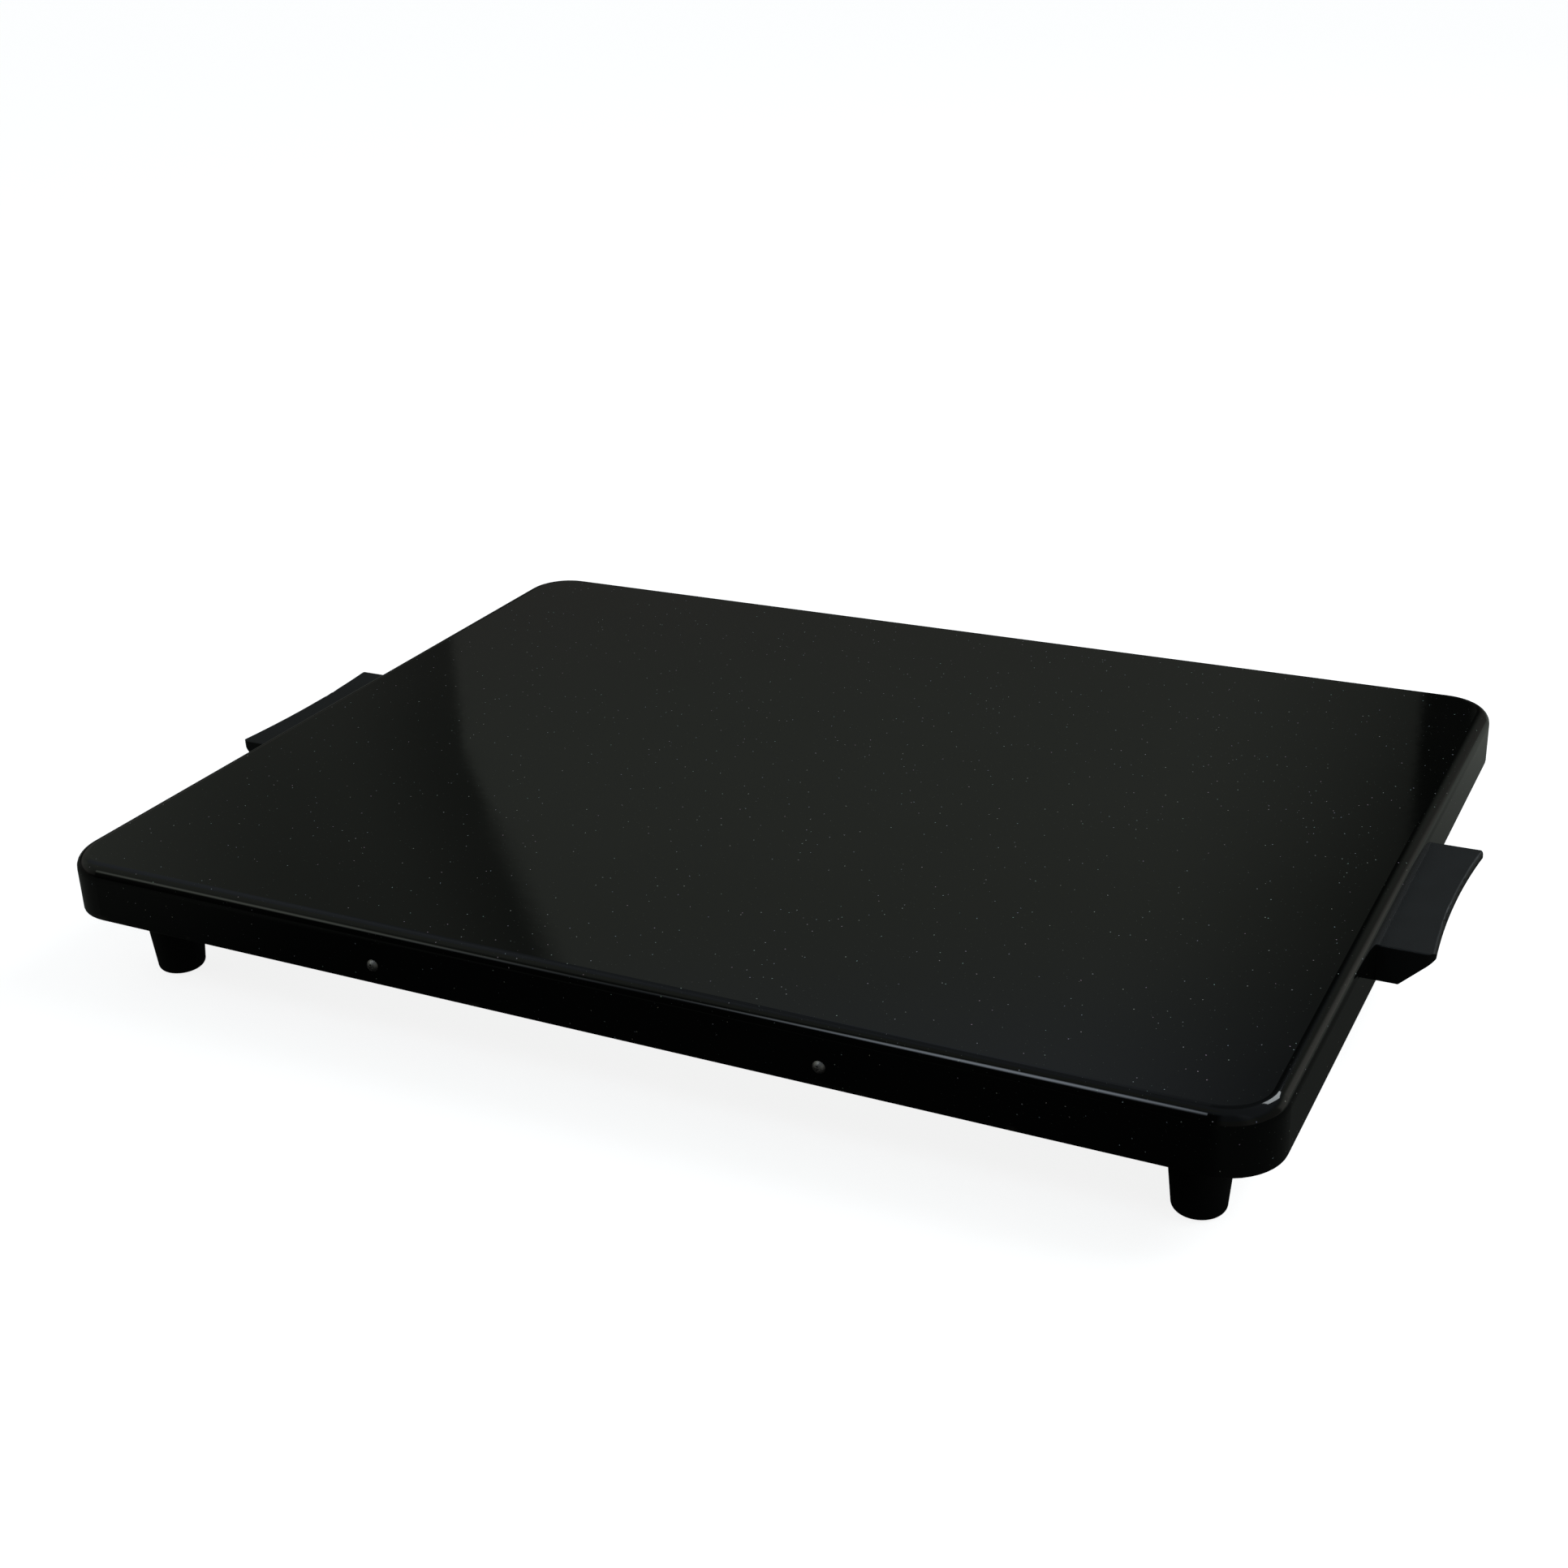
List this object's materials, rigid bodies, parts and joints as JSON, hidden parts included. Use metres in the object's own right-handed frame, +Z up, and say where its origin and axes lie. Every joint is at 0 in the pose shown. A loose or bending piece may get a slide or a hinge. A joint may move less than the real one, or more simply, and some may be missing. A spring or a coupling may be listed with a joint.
{
  "type": "electric warming plate",
  "caption": "Flat rectangular warming plate: enamelled steel pan on tapered feet, with a moulded handle at each short end and a clamped mica element inside.",
  "frame": {"origin": "on the surface it stands on, under the middle of the plate", "axes": "+X along the plate's long side, towards the right-hand handle; +Y towards the rear, where the cord enters; +Z up"},
  "size_m": [0.6494, 0.4643, 0.069],
  "materials": {
    "enamel": "gloss enamel with fine light flecks",
    "cover_steel": "galvanised sheet",
    "plated_steel": "zinc plated",
    "dark_plated": "nickel plated, dulled",
    "foot_plastic": "moulded, fine texture",
    "handle_plastic": "moulded phenolic, fine texture",
    "brass": "plain turned",
    "aluminium": "rolled sheet",
    "mica": null,
    "ribbon_alloy": "oxidised resistance strip",
    "clamp_steel": "aluminised sheet",
    "mineral_wool": "soft fibre blanket",
    "ceramic": "unglazed steatite",
    "phenolic": "moulded phenolic",
    "lead_brown": "silicone insulation, brown",
    "lead_blue": "silicone insulation, blue",
    "lead_green": "silicone insulation, green and yellow",
    "gland_nylon": "moulded nylon",
    "gland_rubber": "soft black rubber"
  },
  "bodies": {
    "root": {"plate_pan": "enamel", "base_cover": "cover_steel", "cover_screws": "dark_plated", "foot_front_left": "foot_plastic", "foot_front_right": "foot_plastic", "foot_rear_left": "foot_plastic", "foot_rear_right": "foot_plastic", "foot_screws": "plated_steel", "foot_washers": "plated_steel", "foot_nuts": "plated_steel", "handle_left": "handle_plastic", "handle_right": "handle_plastic", "handle_inserts": "brass", "handle_screws": "plated_steel", "handle_washers": "plated_steel", "heat_spreader": "aluminium", "mica_upper": "mica", "heating_ribbon": "ribbon_alloy", "mica_lower": "mica", "clamp_plate": "clamp_steel", "plate_studs": "plated_steel", "stud_washers": "plated_steel", "stud_nuts": "plated_steel", "insulation_blanket": "mineral_wool", "heater_terminals": "brass", "terminal_bushes": "ceramic", "terminal_nuts": "brass", "terminal_lugs": "plated_steel", "limiter_case": "aluminium", "limiter_body": "phenolic", "limiter_blades": "plated_steel", "limiter_receptacles": "brass", "limiter_studs": "plated_steel", "limiter_nuts": "plated_steel", "terminal_block": "ceramic", "block_tubes": "brass", "block_screws": "plated_steel", "block_mount_screws": "plated_steel", "lead_live": "lead_brown", "lead_link": "lead_brown", "lead_neutral": "lead_blue", "lead_earth": "lead_green", "earth_stud": "brass", "earth_nuts": "brass", "earth_lug": "plated_steel", "gland_body": "gland_nylon", "gland_seal": "gland_rubber", "gland_cap": "gland_nylon", "gland_locknut": "gland_nylon"}
  },
  "joints": []
}
